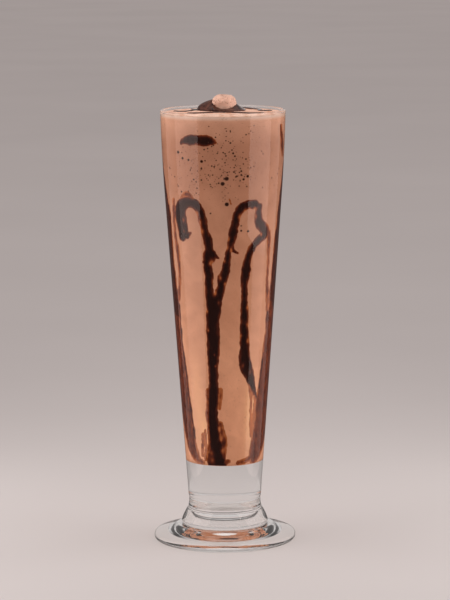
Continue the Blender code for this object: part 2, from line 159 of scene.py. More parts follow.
# Chocolate inside the wall: how thick the film is, then (azimuth, height in mm,
# half width in mm) along each streak.
STREAKS = {
    "left_arch": (1.0, (
        (-49, 165, 2.2), (-48.5, 169.5, 3.5), (-50.3, 174.5, 4.1), (-49, 180, 3.8),
        (-41, 183.5, 2.7), (-30, 182.5, 2.5), (-24, 178.5, 2.2), (-21, 171, 2.0),
        (-17, 163.5, 2.1), (-15.6, 159, 2.2), (-15.2, 155.5, 3.4), (-17, 152.5, 2.2),
        (-17.5, 145, 2.0), (-17.2, 137, 2.0), (-14, 130, 2.5),
    )),
    "arch_heel": (1.0, ((-48, 166, 1.8), (-42, 165.8, 1.2), (-36.5, 167.6, 0.4))),
    "bulb_tips": (1.0, ((-22, 152.4, 0.4), (-17, 154, 1.6), (-11, 156, 1.7), (-4.8, 154.2, 0.4))),
    "right_arch": (1.0, (
        (41, 181.5, 1.0), (33, 182.3, 1.9), (23, 182, 2.3), (15.5, 178.5, 2.1),
        (12, 172.5, 1.7), (10, 167, 1.9), (8.8, 161.5, 1.2), (10.5, 158.6, 1.0),
        (15.8, 157.2, 0.5),
    )),
    "right_arch_strand": (1.0, (
        (9.5, 167, 1.8), (7.3, 162.5, 1.3), (5.5, 158, 1.3), (3, 150.5, 2.0), (0, 145, 2.2),
        (-2, 140.5, 2.0), (-5, 135.5, 2.2), (-8.5, 131, 2.7), (-11.5, 125, 2.9),
    )),
    "centre_run": (1.0, (
        (-11.5, 130, 3.5), (-13, 124, 3.2), (-14, 111, 3.1), (-14, 102, 2.8),
        (-14.6, 92.5, 2.4), (-15, 83, 2.6), (-17.5, 73, 2.7), (-17, 63.5, 3.0),
        (-15, 57, 3.3), (-12.5, 51, 4.2), (-12.3, 44.5, 4.6),
    )),
    "centre_left_branch": (0.5, (
        (-23, 84, 0.8), (-23.5, 76, 1.0), (-23, 66, 1.2), (-22, 55, 1.1), (-21, 45, 1.6),
    )),
    "centre_right_branch": (0.55, ((-6, 66, 0.8), (-3.5, 60, 1.4), (-2, 55, 1.6), (-3, 47, 1.6))),
    "right_loop": (0.95, (
        (40, 181.5, 1.3), (38.4, 177, 1.8), (40, 172.5, 2.3), (46, 169.5, 2.8), (48.5, 166, 2.3),
        (41, 163.5, 2.0), (32.5, 159, 1.8), (27.3, 154, 1.6), (25.7, 148, 2.1),
        (24.6, 142.5, 1.8), (24.2, 134, 1.7), (25, 127, 1.8), (26, 119, 2.1),
        (26.3, 111, 2.4), (27.4, 102, 3.0), (30.5, 96, 3.3), (34.5, 92, 2.6),
        (39, 88, 2.0), (44.5, 83, 1.2), (50, 79, 0.8),
    )),
    "right_edge": (0.62, (
        (87, 201, 1.8), (85, 186, 4.4), (83, 165, 6.0), (81.5, 150, 6.2), (80, 127, 6.2),
    )),
    "right_side": (0.46, (
        (79, 128, 6.0), (77, 112, 6.8), (76, 100, 7.0), (75, 90, 7.2), (71, 78, 7.8),
        (69, 67, 7.4), (66, 57, 7.0), (58, 50, 5.2), (50, 45, 2.4),
    )),
    "right_side_line": (0.85, (
        (64, 124, 0.8), (62.5, 109, 1.0), (60.5, 99, 1.1), (58, 90, 1.2), (55, 82, 1.2),
        (53.5, 72, 1.0), (54, 60, 0.6),
    )),
    "right_edge_strand": (0.45, (
        (49, 168, 0.9), (56, 166, 1.3), (57.5, 155, 1.3), (58.5, 140, 1.1), (62, 126, 1.1),
    )),
    "left_edge": (0.66, (
        (-87, 201, 2.0), (-83, 184, 4.6), (-81, 175, 5.6), (-81, 165, 5.6), (-81.5, 151, 5.4),
        (-79, 137, 5.7), (-79, 122, 5.5),
    )),
    "left_side": (0.48, (
        (-79, 124, 5.5), (-79.5, 110, 5.6), (-78, 100, 5.8), (-76, 90.5, 6.0), (-75, 81, 6.1),
        (-72, 71.5, 6.2), (-66, 62, 5.4), (-60, 52.5, 4.0), (-47, 46, 2.4), (-37, 44.4, 1.2),
    )),
    "left_side_line": (0.85, (
        (-64, 128, 0.6), (-65.5, 112, 0.7), (-62.5, 99, 0.8), (-59.5, 88, 0.9), (-57.5, 76, 0.9),
        (-53.5, 66, 1.1), (-51, 57, 1.0),
    )),
    "left_edge_strand": (0.5, (
        (-60, 184, 1.0), (-61, 176, 1.5), (-62, 166, 1.2), (-58.5, 154, 1.3),
        (-59, 143, 1.1), (-64, 131, 0.9),
    )),
    "left_smear": (0.95, (
        (-43, 214.5, 0.9), (-37, 216, 2.2), (-22, 216.4, 2.4), (-13, 216, 2.1), (-6.5, 215, 0.6),
    )),
    "right_smear": (0.5, ((70, 222, 1.0), (73, 217, 2.0), (76, 212, 2.4), (78, 207, 1.0))),
    "back_left_arch": (1.0, (
        (-108, 172, 1.2), (-112, 184, 2.2), (-123, 188, 2.4), (-133, 178, 2.3),
        (-134, 158, 2.0), (-131, 130, 2.2), (-134, 100, 2.8), (-132, 70, 2.8),
        (-134, 45, 3.2),
    )),
    "back_right_arch": (1.0, (
        (150, 166, 1.4), (154, 180, 2.2), (166, 186, 2.5), (177, 176, 2.3),
        (178, 150, 2.0), (174, 120, 2.2), (175, 90, 2.6), (172, 62, 2.6),
        (175, 45, 3.0),
    )),
    "back_side_run": (0.9, (
        (112, 202, 0.8), (109, 180, 1.8), (113, 150, 2.0), (110, 118, 2.2),
        (114, 86, 2.4), (111, 45, 2.8),
    )),
    "back_smear": (0.9, ((118, 213, 0.8), (128, 215.5, 2.1), (142, 215, 1.7), (150, 213, 0.6))),
}

# Thin wisps of sauce beside the streaks, in the same form.
WISPS = {
    "arch_crown": (0.5, ((-47, 185.5, 0.7), (-41, 187.6, 1.1), (-36, 187.2, 0.9), (-31, 184.5, 0.6))),
    "loop_bridge": (0.5, ((45, 169, 0.7), (50, 170.5, 0.9), (54, 168, 0.8))),
    "gold_line": (0.25, ((36, 86, 0.5), (40, 80, 0.7), (41, 68, 0.6), (43, 58, 0.4))),
    "gold_side": (0.2, ((47, 80, 0.5), (46.5, 68, 0.8), (47, 56, 0.6))),
    "low_left_one": (0.4, ((-34, 60, 0.4), (-35, 54, 0.6), (-37, 48, 0.6))),
    "low_left_two": (0.35, ((-30, 62, 0.4), (-29, 54, 0.5), (-31, 46, 0.5))),
    "centre_side": (0.45, ((-5, 84.5, 0.6), (-5.5, 80, 0.7), (-7, 74, 0.4))),
    "centre_low": (0.55, ((6, 45.5, 0.9), (-1, 44.8, 1.3))),
    "right_low": (0.5, ((22, 44.2, 0.8), (33, 44.9, 1.1), (46, 46.5, 1.6))),
    "front_tick": (0.6, ((6, 185.5, 0.3), (7.2, 184, 0.5), (8, 182.6, 0.3))),
}

# Places where the chocolate is thin and light comes through: azimuth, height, radius.
THIN_SPOTS = (
    (-28, 178.2, 1.4), (-24.5, 173.5, 1.3), (-22.5, 168.5, 1.0), (-46, 174, 1.0),
    (17, 176, 1.1), (22, 179, 1.1), (28, 179.6, 1.1), (34, 180, 1.0), (36, 176, 1.0),
    (-13, 152.8, 1.1), (-15.5, 151.8, 0.9), (5.4, 164.5, 0.9), (4.2, 160, 0.9),
    (8.2, 158.6, 0.8), (1.2, 153, 0.7), (-3.6, 144, 0.9), (1.2, 141, 0.8), (-9.5, 136, 0.8),
    (-6, 131, 0.8), (-19.5, 116, 0.6), (-20, 126, 0.6), (-12.5, 103, 0.5), (-11.5, 97, 0.5),
    (28.5, 128, 0.8), (29.5, 119, 0.9), (30.5, 110, 1.0), (21.5, 113, 0.6), (25, 97, 0.9),
    (36.5, 93, 0.8), (-8, 63, 0.8), (-5.5, 58, 1.3), (-4, 51, 1.0), (-20.5, 50, 1.4),
    (-19, 45.5, 1.4), (-46, 168, 0.7), (44, 166, 0.7),
)

# Peanut butter at the wall: azimuth, height, spread each way, strength.
WARM_PLACES = (
    (40, 70, 8, 17, 1.0), (-29, 57, 8, 14, 0.9), (-40, 75, 9, 25, 0.35), (165, 80, 9, 18, 0.8),
    (-110, 62, 8, 12, 0.7),
)

# The larger bubbles against the glass, each a disc of painted shade: azimuth, height and radius in mm.
BUBBLES = (
    (3.4, 196.4, 1.2), (-0.6, 193.8, 1.15), (3.5, 183.0, 1.15), (24.6, 197.4, 0.8),
    (20.3, 195.9, 0.7), (17.8, 200.2, 0.55), (17.9, 198.2, 0.55), (12.5, 197.3, 0.5),
    (6.9, 215.0, 0.55), (9.6, 209.6, 0.6), (11.3, 208.1, 0.55), (2.7, 208.3, 0.5),
    (0.1, 210.0, 0.45), (22.4, 206.4, 0.5), (-21.1, 205.3, 0.85), (-21.6, 201.5, 0.55),
    (-18.3, 211.5, 0.5), (-42.6, 206.5, 0.75), (-35.5, 205.8, 0.65), (-30.2, 195.7, 0.5),
    (-21.9, 195.6, 0.5), (-13.3, 178.2, 0.5), (26.8, 168.5, 0.7), (18.9, 168.9, 0.6),
    (18.8, 171.5, 0.45), (-46.3, 188.9, 0.55), (-48.2, 209.5, 0.9), (-4.5, 194, 0.45),
)
SMALL_BUBBLES = 380
SMALL_BUBBLE_RADII = (0.22, 0.46)
BUBBLE_HEIGHTS = (176, 225)
STRAY_SHARE = 0.3
STRAY_HEIGHTS = (185, 222)
STRAY_SPREAD = 6
CLUSTER_FLATNESS = 0.75
BUBBLE_SIDES = 12
BUBBLE_RINGS = 6
# Clusters of small bubbles: azimuth, height in mm, spread each way.
CLUSTERS = (
    (-34, 205, 11), (-28, 199, 9), (-6, 205, 10), (9, 207, 11), (12, 198, 10), (-8, 197, 9),
    (28, 205, 12), (0, 220, 14), (140, 205, 16), (-120, 203, 16),
)

# Chocolate lines on the top: (x, y, half width), all in mm.
TOP_LINES = {
    "front_line": (
        (-19, -12, 0.8), (-10, -14.5, 1.3), (2, -13, 1.0), (13, -15.5, 1.4), (22, -12, 0.8),
    ),
    "left_line": ((-26, 4, 0.9), (-20, -2, 1.3), (-14, 6, 1.1), (-17, 15, 0.8)),
    "right_line": ((26, 6, 0.8), (20, 0, 1.2), (19, 10, 1.3), (12, 17, 0.9)),
    "back_line": ((-14, 21, 0.9), (-3, 18, 1.3), (8, 22, 1.1), (16, 20, 0.7)),
}
LINE_PROUD = 0.35 * MM
LINE_SINK = 0.3 * MM
LINE_STEP = 0.5 * MM
LINE_SIDES = 16

# Lump and sauce
LUMP_CENTRE = Vector((0.6, 2.0, 231.8)) * MM
LUMP_RADII = Vector((6.4, 5.8, 6.2)) * MM
LUMP_SQUARENESS = 2.6
LUMP_RELIEF = 0.55 * MM
LUMP_RELIEF_SIZE = 4.2 * MM
LUMP_PIT = 0.3 * MM
LUMP_PIT_SIZE = 1.1 * MM
SAUCE_CENTRE = Vector((0.6, 1.5, 0.0)) * MM
SAUCE_REACH = {"left": 13.2 * MM, "right": 12.0 * MM, "back": 10.5 * MM, "front": 9.0 * MM}
SAUCE_THIN = 0.8 * MM
SAUCE_LEFT_MOUND = 4.6 * MM
SAUCE_RIGHT_MOUND = 2.4 * MM
SAUCE_BACK_MOUND = 1.6 * MM
SAUCE_MOUND_WIDTH = 40.0
SAUCE_LEFT_FALL = 0.38
SAUCE_RIGHT_FALL = 1.3
SAUCE_LIFT = 0.3 * MM

# Fixed colours of the finishes
GLASS_TINT = (0.985, 0.99, 0.985)
GLASS_SHADE = (0.93, 0.93, 0.92)
MARBLE_SHADE = (0.90, 0.86, 0.84)
CLOUD_LIGHT = (1.13, 1.15, 1.17)
FILM_BROWN = (0.18, 0.035, 0.012)
FILM_DARK = (0.062, 0.011, 0.005)
# Lighter swirl colour of the sauce, partly painted highlight.
SAUCE_SWIRL_AND_SHEEN = (0.13, 0.045, 0.028)
# Painted shade in the middle of the bubbles.
BUBBLE_PAINTED_SHADE = (0.035, 0.011, 0.006)
# Painted shade of the lump's pits.
LUMP_PIT_SHADE = (0.36, 0.17, 0.11)

# Fineness of the new meshes
GLASS_STEPS = 192
DRINK_STEPS = 256
TOP_RINGS = 60
SIDE_ROW = 4.0 * MM
LUMP_FACES = (128, 80)
SAUCE_FACES = (160, 72)
WELD = 0.002 * MM


class SmoothieSettings(bpy.types.PropertyGroup):
    """Sizes and colours that a user would change."""

    height: FloatProperty(
        name="Height", description="Height of the glass", default=GLASS_HIGH.z, unit="LENGTH",
    )
    foot_radius: FloatProperty(
        name="Foot Radius", description="Radius of the foot", default=GLASS_HIGH.x, unit="LENGTH",
    )
    rim_radius: FloatProperty(
        name="Rim Radius", description="Outer radius of the rim", default=33.0 * MM, unit="LENGTH",
    )
    waist_radius: FloatProperty(
        name="Waist Radius", description="Outer radius at the waist", default=19.2 * MM, unit="LENGTH",
    )
    wall_at_rim: FloatProperty(
        name="Rim Wall", description="Wall at the rim", default=1.8 * MM, unit="LENGTH",
    )
    wall_at_floor: FloatProperty(
        name="Floor Wall", description="Wall at the floor", default=2.4 * MM, unit="LENGTH",
    )
    floor_height: FloatProperty(
        name="Floor", description="Height of the clear floor", default=42.6 * MM, unit="LENGTH",
    )
    head_room: FloatProperty(
        name="Head Room", description="From the rim down to the drink", default=1.5 * MM, unit="LENGTH",
    )
    drink_low: FloatVectorProperty(
        name="Drink, Low", description="Colour of the drink near its floor",
        default=(0.72, 0.328, 0.187), subtype="COLOR", size=3,
    )
    drink_high: FloatVectorProperty(
        name="Drink, High", description="Colour of the drink near the rim",
        default=(0.43, 0.189, 0.112), subtype="COLOR", size=3,
    )
    drink_froth: FloatVectorProperty(
        name="Drink, Froth", description="Colour of the drink's froth at the top",
        default=(0.66, 0.33, 0.21), subtype="COLOR", size=3,
    )
    # Lighter colour of the drink's top, which also paints the band under the level as painted highlight
    # of the glass's rim.
    drink_head_and_rim_highlight: FloatVectorProperty(
        name="Drink, Lip", description="Colour of the cream ring at the rim",
        default=(0.73, 0.49, 0.385), subtype="COLOR", size=3,
    )
    drink_warm: FloatVectorProperty(
        name="Drink, Warm", description="Colour of the drink where peanut butter shows",
        default=(0.96, 0.50, 0.25), subtype="COLOR", size=3,
    )
    sauce_thick: FloatVectorProperty(
        name="Sauce, Thick", description="Colour of the chocolate where it is thick",
        default=(0.016, 0.0035, 0.002), subtype="COLOR", size=3,
    )
    sauce_thin: FloatVectorProperty(
        name="Sauce, Thin", description="Colour of the chocolate where light comes through",
        default=(0.42, 0.12, 0.038), subtype="COLOR", size=3,
    )
    lump: FloatVectorProperty(
        name="Lump", description="Colour of the frozen lump",
        default=(0.78, 0.46, 0.34), subtype="COLOR", size=3,
    )
    stage: FloatVectorProperty(
        name="Stage", description="Colour of the floor",
        default=(0.60, 0.555, 0.545), subtype="COLOR", size=3,
    )
    seed: IntProperty(name="Seed", description="Seed of the small bubbles", default=7)


def settings():
    """The scene's smoothie settings."""
    return bpy.context.scene.smoothie


def bowl_radius(height):
    """Outer radius of the bowl: a straight cone that eases upright near the rim."""
    glass = settings()
    flare = glass.height - FLARE_START
    cone_rise = glass.rim_radius - glass.waist_radius - RIM_SLOPE * flare / 2
    slope = cone_rise / (glass.height - WAIST_HEIGHT - flare / 2)
    above = max(0.0, height - FLARE_START)
    eased = (slope - RIM_SLOPE) * above ** 2 / (2 * flare)
    return glass.waist_radius + slope * (height - WAIST_HEIGHT) - eased


def inner_radius(height):
    """Inner radius of the bowl, whose wall thickens towards its floor."""
    glass = settings()
    share = (height - glass.floor_height) / (glass.height - glass.floor_height)
    share = min(1.0, max(0.0, share))
    wall = glass.wall_at_floor + (glass.wall_at_rim - glass.wall_at_floor) * share
    return bowl_radius(height) - wall


def level():
    """Height of the drink at the wall."""
    return settings().height - settings().head_room


def top_height(x, y):
    """Height of the drink's top: a low dome with gentle ripples."""
    reach = math.hypot(x, y) / (inner_radius(level()) - CAD_FILL_GAP)
    ripple = noise.noise(Vector((x, y, 0.0)) / TOP_RIPPLE_SIZE) * TOP_RIPPLE
    calm = max(0.0, 1.0 - reach ** 2)
    return level() + DOME_RISE * calm + ripple * calm


def arc(centre_radius, centre_height, radius, start, end, steps):
    """Points of an arc in the profile plane, angles in degrees from +X."""
    points = []
    for step in range(steps + 1):
        angle = math.radians(start + (end - start) * step / steps)
        points.append((
            centre_radius + radius * math.cos(angle),
            centre_height + radius * math.sin(angle),
        ))
    return points


def bend(start, control, end, steps):
    """Points of a quadratic curve from start to end, pulled towards control."""
    points = []
    for step in range(steps + 1):
        t = step / steps
        weights = ((1 - t) ** 2, 2 * t * (1 - t), t ** 2)
        points.append(tuple(
            sum(w * p[k] for w, p in zip(weights, (start, control, end))) for k in (0, 1)
        ))
    return points


def soften(points, passes):
    """Rounds a profile's corners by cutting them, with its ends kept."""
    for _ in range(passes):
        cut = [points[0]]
        for (r0, z0), (r1, z1) in zip(points, points[1:]):
            cut.append((0.75 * r0 + 0.25 * r1, 0.75 * z0 + 0.25 * z1))
            cut.append((0.25 * r0 + 0.75 * r1, 0.25 * z0 + 0.75 * z1))
        cut.append(points[-1])
        points = cut
    return points


def spread(start, end, step):
    """Evenly spaced values from start to end, about a step apart."""
    count = max(1, round(abs(end - start) / step))
    return [start + (end - start) * k / count for k in range(count + 1)]


def smooth_path(points, samples):
    """Points spread along a smooth curve through the given points."""
    route = []
    last = len(points) - 1
    for step in range(samples + 1):
        place = last * step / samples
        index = min(int(place), last - 1)
        t = place - index
        four = (
            points[max(index - 1, 0)], points[index], points[index + 1], points[min(index + 2, last)],
        )
        route.append(tuple(
            0.5 * (2 * b + (c - a) * t + (2 * a - 5 * b + 4 * c - d) * t ** 2
                   + (3 * b - a - 3 * c + d) * t ** 3)
            for a, b, c, d in zip(*four)
        ))
    return route


def wall_point(azimuth, height, radius):
    """Point round the glass's axis."""
    angle = math.radians(azimuth)
    return Vector((math.sin(angle) * radius, -math.cos(angle) * radius, height))


def finish_piece(name, shape, material, node=None):
    """Makes a piece of a bmesh, gives it its finish and rides it on the body."""
    mesh = bpy.data.meshes.new(name)
    shape.to_mesh(mesh)
    shape.free()
    mesh.shade_smooth()
    mesh.materials.append(material)
    piece = bpy.data.objects.new(name, mesh)
    bpy.context.scene.collection.objects.link(piece)
    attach(piece, "root")
    if node:
        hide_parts(node)
    return piece


def turn(profile, steps):
    """Bmesh spun about Z from a profile that runs down its outer side."""
    shape = bmesh.new()
    verts = [shape.verts.new((r, 0.0, z)) for r, z in profile]
    edges = [shape.edges.new(pair) for pair in zip(verts, verts[1:])]
    bmesh.ops.spin(
        shape, geom=verts + edges, cent=(0, 0, 0), axis=(0, 0, 1), dvec=(0, 0, 0),
        angle=math.tau, steps=steps, use_merge=True, use_duplicate=False,
    )
    bmesh.ops.remove_doubles(shape, verts=shape.verts, dist=WELD)
    bmesh.ops.recalc_face_normals(shape, faces=shape.faces)
    return shape


def new_material(name):
    """Material with its node tree, its links and its Principled shader."""
    material = bpy.data.materials.new(name)
    material.use_nodes = True
    tree = material.node_tree
    return material, tree, tree.nodes["Principled BSDF"]


def noise_node(tree, scale, detail=3.0, stretch=(1.0, 1.0, 1.0), distortion=0.0):
    """Noise on the piece's own coordinates, with a scale in waves per metre."""
    place = tree.nodes.new("ShaderNodeTexCoord")
    mapping = tree.nodes.new("ShaderNodeMapping")
    mapping.inputs["Scale"].default_value = stretch
    pattern = tree.nodes.new("ShaderNodeTexNoise")
    pattern.inputs["Scale"].default_value = scale
    pattern.inputs["Detail"].default_value = detail
    pattern.inputs["Distortion"].default_value = distortion
    tree.links.new(place.outputs["Object"], mapping.inputs["Vector"])
    tree.links.new(mapping.outputs["Vector"], pattern.inputs["Vector"])
    return pattern.outputs["Fac"]


def ranged(tree, value, low, high, to_low, to_high):
    """A value mapped from one range to another, clamped."""
    node = tree.nodes.new("ShaderNodeMapRange")
    for name, number in zip(("From Min", "From Max", "To Min", "To Max"), (low, high, to_low, to_high)):
        node.inputs[name].default_value = number
    tree.links.new(value, node.inputs["Value"])
    return node.outputs["Result"]


def mixed(tree, factor, first, second, blend="MIX"):
    """Colour mixed by a factor; a colour is a tuple or another node's output."""
    node = tree.nodes.new("ShaderNodeMix")
    node.data_type = "RGBA"
    node.blend_type = blend
    factor_in, first_in, second_in = node.inputs[0], node.inputs[6], node.inputs[7]
    for socket, value in ((factor_in, factor), (first_in, first), (second_in, second)):
        if isinstance(value, bpy.types.NodeSocket):
            tree.links.new(value, socket)
        elif socket is factor_in:
            socket.default_value = value
        else:
            socket.default_value = (*value, 1.0)
    return node.outputs[2]


def bumped(tree, shader, value, strength, distance):
    """Bump on a shader from a value."""
    node = tree.nodes.new("ShaderNodeBump")
    node.inputs["Strength"].default_value = strength
    node.inputs["Distance"].default_value = distance
    tree.links.new(value, node.inputs["Height"])
    tree.links.new(node.outputs["Normal"], shader.inputs["Normal"])


def vertex_value(tree, name):
    """A value that the mesh's vertices carry."""
    node = tree.nodes.new("ShaderNodeAttribute")
    node.attribute_name = name
    return node.outputs["Fac"]


def combined(tree, operation, first, second):
    """One value worked out from two."""
    node = tree.nodes.new("ShaderNodeMath")
    node.operation = operation
    tree.links.new(first, node.inputs[0])
    tree.links.new(second, node.inputs[1])
    return node.outputs["Value"]


def varied_roughness(tree, shader, scale, low, high):
    """Roughness that varies a little over a piece."""
    rough = ranged(tree, noise_node(tree, scale, 2.0), 0.3, 0.7, low, high)
    tree.links.new(rough, shader.inputs["Roughness"])


def without_shine(shader, roughness):
    """Finish with no reflection of its own."""
    shader.inputs["Roughness"].default_value = roughness
    shader.inputs["Specular IOR Level"].default_value = 0.0


def dimmed_in_mirrors(tree, colour):
    """A stage colour that polished glass mirrors only dimly."""
    ray = tree.nodes.new("ShaderNodeLightPath")
    mirrored = combined(tree, "MULTIPLY", ray.outputs["Is Reflection Ray"], ray.outputs["Is Glossy Ray"])
    return mixed(tree, mirrored, colour, (MIRRORED_SHARE,) * 3, "MULTIPLY")


def scaled(colour, share):
    """A colour made lighter or darker."""
    return tuple(min(1.0, c * share) for c in colour)


def glass_material():
    """Clear polished glass that lets the studio's light through to the drink."""
    material, tree, shader = new_material("clear_glass")
    shader.inputs["Base Color"].default_value = (*GLASS_TINT, 1.0)
    shader.inputs["Transmission Weight"].default_value = 1.0
    shader.inputs["IOR"].default_value = 1.5
    smudge = ranged(tree, noise_node(tree, 70.0, 4.0), 0.45, 0.75, 0.0, 0.012)
    tree.links.new(smudge, shader.inputs["Roughness"])
    bumped(tree, shader, noise_node(tree, 14.0, 1.0, (1.0, 1.0, 0.3)), 0.25, 0.12 * MM)
    through = tree.nodes.new("ShaderNodeBsdfTransparent")
    through.inputs["Color"].default_value = (*GLASS_SHADE, 1.0)
    ray = tree.nodes.new("ShaderNodeLightPath")
    either = combined(tree, "MAXIMUM", ray.outputs["Is Shadow Ray"], ray.outputs["Is Diffuse Ray"])
    choose = tree.nodes.new("ShaderNodeMixShader")
    tree.links.new(either, choose.inputs["Fac"])
    tree.links.new(shader.outputs["BSDF"], choose.inputs[1])
    tree.links.new(through.outputs["BSDF"], choose.inputs[2])
    tree.links.new(choose.outputs["Shader"], tree.nodes["Material Output"].inputs["Surface"])
    return material


def drink_material():
    """Thick milky drink: marbled, darker towards the top, with fine specks and a painted highlight band
    under the rim.
    """
    look = settings()
    material, tree, shader = new_material("smoothie")
    place = tree.nodes.new("ShaderNodeTexCoord")
    split = tree.nodes.new("ShaderNodeSeparateXYZ")
    tree.links.new(place.outputs["Object"], split.inputs["Vector"])
    height = split.outputs["Z"]
    rise = ranged(tree, height, DEEP_HEIGHT, HIGH_HEIGHT, 0.0, 1.0)
    base = mixed(tree, rise, tuple(look.drink_low), tuple(look.drink_high))
    froth = ranged(tree, height, FROTH_HEIGHT, level(), 0.0, 1.0)
    base = mixed(tree, froth, base, tuple(look.drink_froth))
    # Painted highlight in part: the drink turns lighter in a band just under its level, standing in for
    # the glass rim's bright line; the same lighter colours, swirled at the very top, are also the top's
    # own colour.
    head_and_rim_highlight = ranged(tree, height, level() - RIM_HIGHLIGHT_BAND, level() - RIM_HIGHLIGHT_BAND / 3, 0.0, 1.0)
    base = mixed(tree, head_and_rim_highlight, base, tuple(look.drink_head_and_rim_highlight))
    crown = ranged(tree, height, level() - RIM_HIGHLIGHT_BAND / 8, level() - RIM_HIGHLIGHT_BAND / 16, 0.0, 1.0)
    swirl = ranged(tree, noise_node(tree, 75.0, 5.0, distortion=2.2), 0.42, 0.66, 0.0, 1.0)
    cream_and_highlight = mixed(tree, swirl, scaled(look.drink_head_and_rim_highlight, 1.15), scaled(look.drink_froth, 0.95))
    base = mixed(tree, crown, base, cream_and_highlight)
    marble = ranged(tree, noise_node(tree, 26.0, 4.0, (1.0, 1.0, 0.6), 1.2), 0.4, 0.68, 0.0, 1.0)
    marbled = mixed(tree, marble, base, MARBLE_SHADE, "MULTIPLY")
    cloud = ranged(tree, noise_node(tree, 110.0, 5.0, distortion=0.6), 0.38, 0.66, 0.0, 1.0)
    clouded = mixed(tree, cloud, marbled, CLOUD_LIGHT, "MULTIPLY")
    gilded = mixed(tree, vertex_value(tree, "warm"), clouded, tuple(look.drink_warm))
    speck = ranged(tree, noise_node(tree, 1300.0, 2.0), 0.64, 0.72, 0.0, 0.45)
    tree.links.new(mixed(tree, speck, gilded, scaled(look.drink_low, 0.4)), shader.inputs["Base Color"])
    shader.inputs["Specular IOR Level"].default_value = 0.0
    varied_roughness(tree, shader, 400.0, 0.38, 0.55)
    bumped(tree, shader, noise_node(tree, 900.0, 3.0), 0.3, 0.1 * MM)
    return material


def streak_material():
    """Chocolate against the wall: dark where thick, orange brown at thin edges."""
    look = settings()
    material, tree, shader = new_material("wall_chocolate")
    waver = ranged(tree, noise_node(tree, 480.0, 4.0, (1.0, 1.0, 0.5)), 0.3, 0.7, -0.15, 0.12)
    film = combined(tree, "ADD", vertex_value(tree, "film"), waver)
    ramp = tree.nodes.new("ShaderNodeValToRGB")
    stops = (
        (0.0, scaled(look.sauce_thin, 1.3)), (0.18, tuple(look.sauce_thin)),
        (0.36, FILM_BROWN), (0.58, FILM_DARK), (0.92, tuple(look.sauce_thick)),
    )
    while len(ramp.color_ramp.elements) < len(stops):
        ramp.color_ramp.elements.new(0.5)
    for element, (place, colour) in zip(ramp.color_ramp.elements, stops):
        element.position = place
        element.color = (*colour, 1.0)
    tree.links.new(film, ramp.inputs["Fac"])
    tree.links.new(ramp.outputs["Color"], shader.inputs["Base Color"])
    without_shine(shader, 0.5)
    return material


def sauce_material():
    """Glossy dark sauce in the open, with faint lighter swirls that are partly painted highlight."""
    look = settings()
    material, tree, shader = new_material("open_sauce")
    # Lighter swirls: part swirled tone of the sauce, part painted highlight.
    swirl = ranged(tree, noise_node(tree, 260.0, 3.0, distortion=1.5), 0.35, 0.7, 0.0, 1.0)
    colour = mixed(tree, swirl, tuple(look.sauce_thick), SAUCE_SWIRL_AND_SHEEN)
    tree.links.new(colour, shader.inputs["Base Color"])
    varied_roughness(tree, shader, 500.0, 0.10, 0.22)
    shader.inputs["Specular IOR Level"].default_value = 0.15
    bumped(tree, shader, noise_node(tree, 700.0, 2.0), 0.2, 0.08 * MM)
    return material


def bubble_material():
    """Bubbles seen through the glass: painted shade, dark in the middle and fading to the drink."""
    look = settings()
    material, tree, shader = new_material("bubble")
    grain = ranged(tree, noise_node(tree, 800.0, 2.0), 0.3, 0.7, -0.15, 0.15)
    painted_shade = combined(tree, "ADD", vertex_value(tree, "painted_shade"), grain)
    dark = ranged(tree, painted_shade, 0.0, 0.8, 0.0, 1.0)
    colour = mixed(tree, dark, scaled(look.drink_high, 0.72), BUBBLE_PAINTED_SHADE)
    tree.links.new(colour, shader.inputs["Base Color"])
    without_shine(shader, 0.5)
    return material


def lump_material():
    """Pinkish tan frozen lump with paler frost and painted shade in darker pits."""
    look = settings()
    material, tree, shader = new_material("frozen_lump")
    patch = ranged(tree, noise_node(tree, 170.0, 4.0, distortion=0.8), 0.35, 0.68, 0.0, 1.0)
    colour = mixed(tree, patch, scaled(look.lump, 0.72), scaled(look.lump, 1.15))
    # Painted shade: small darker spots stand in for shade in the lump's pits.
    pit_shade = ranged(tree, noise_node(tree, 620.0, 4.0), 0.54, 0.66, 0.0, 0.8)
    tree.links.new(mixed(tree, pit_shade, colour, LUMP_PIT_SHADE), shader.inputs["Base Color"])
    varied_roughness(tree, shader, 500.0, 0.4, 0.65)
    bumped(tree, shader, noise_node(tree, 1100.0, 3.0), 0.5, 0.15 * MM)
    return material


def stage_material():
    """Plain pale floor with a faint mottle, which glass mirrors only dimly."""
    look = settings()
    material, tree, shader = new_material("studio_paper")
    mottle = ranged(tree, noise_node(tree, 3.0, 3.0), 0.3, 0.7, 0.0, 1.0)
    colour = mixed(tree, mottle, scaled(look.stage, 0.98), scaled(look.stage, 1.02))
    tree.links.new(dimmed_in_mirrors(tree, colour), shader.inputs["Base Color"])
    without_shine(shader, 0.8)
    return material


def stem_profile():
    """Groove, collar, bulge, bead and sloping foot below the bowl."""
    glass = settings()
    collar_top = (glass.waist_radius - WAIST_GROOVE_DEPTH * 0.3, WAIST_HEIGHT - WAIST_GROOVE_HALF)
    points = [(glass.waist_radius - WAIST_GROOVE_DEPTH, WAIST_HEIGHT)]
    collar_pull = (collar_top[0], COLLAR_BOTTOM[1] + WAIST_GROOVE_HALF * 3)
    points += bend(collar_top, collar_pull, COLLAR_BOTTOM, 6)
    points += bend(BULGE_TOP, BULGE_PULL, BULGE_SIDE, 12)
    points += bend(BULGE_SIDE, (BULGE_SIDE[0], BULGE_FOOT[1]), BULGE_FOOT, 4)[1:]
    points += [BEAD_INNER, BEAD_OUTER, FOOT_SLOPE_TOP]
    return points


